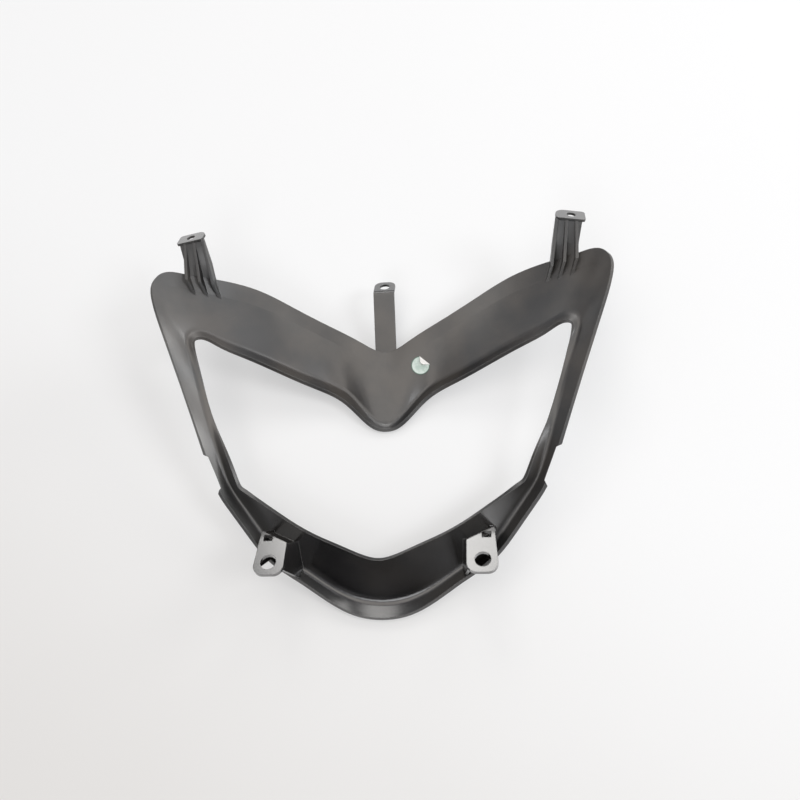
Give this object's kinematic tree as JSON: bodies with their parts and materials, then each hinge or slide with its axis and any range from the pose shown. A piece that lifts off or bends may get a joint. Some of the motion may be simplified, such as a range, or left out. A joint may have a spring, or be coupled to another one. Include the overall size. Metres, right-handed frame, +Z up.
{
  "type": "motorcycle headlight fairing",
  "caption": "Moulded plastic fairing ring around a motorcycle headlight: deep brow, slim arms and chin, with screw horns, tab and lugs.",
  "frame": {"origin": "on the table under the middle of the outline's bounding box, on the mirror plane", "axes": "+X to the side across the mirror plane, +Y from the chin to the brow, +Z up from the table towards the inner side, with the outer face down as it comes to rest"},
  "size_m": [0.2942, 0.2453, 0.0676],
  "materials": {
    "black_plastic": "satin black, as moulded",
    "sticker_paper": "matte pale green paper"
  },
  "bodies": {
    "root": {"fairing_shell": "black_plastic", "inspection_sticker": "sticker_paper"}
  },
  "joints": []
}
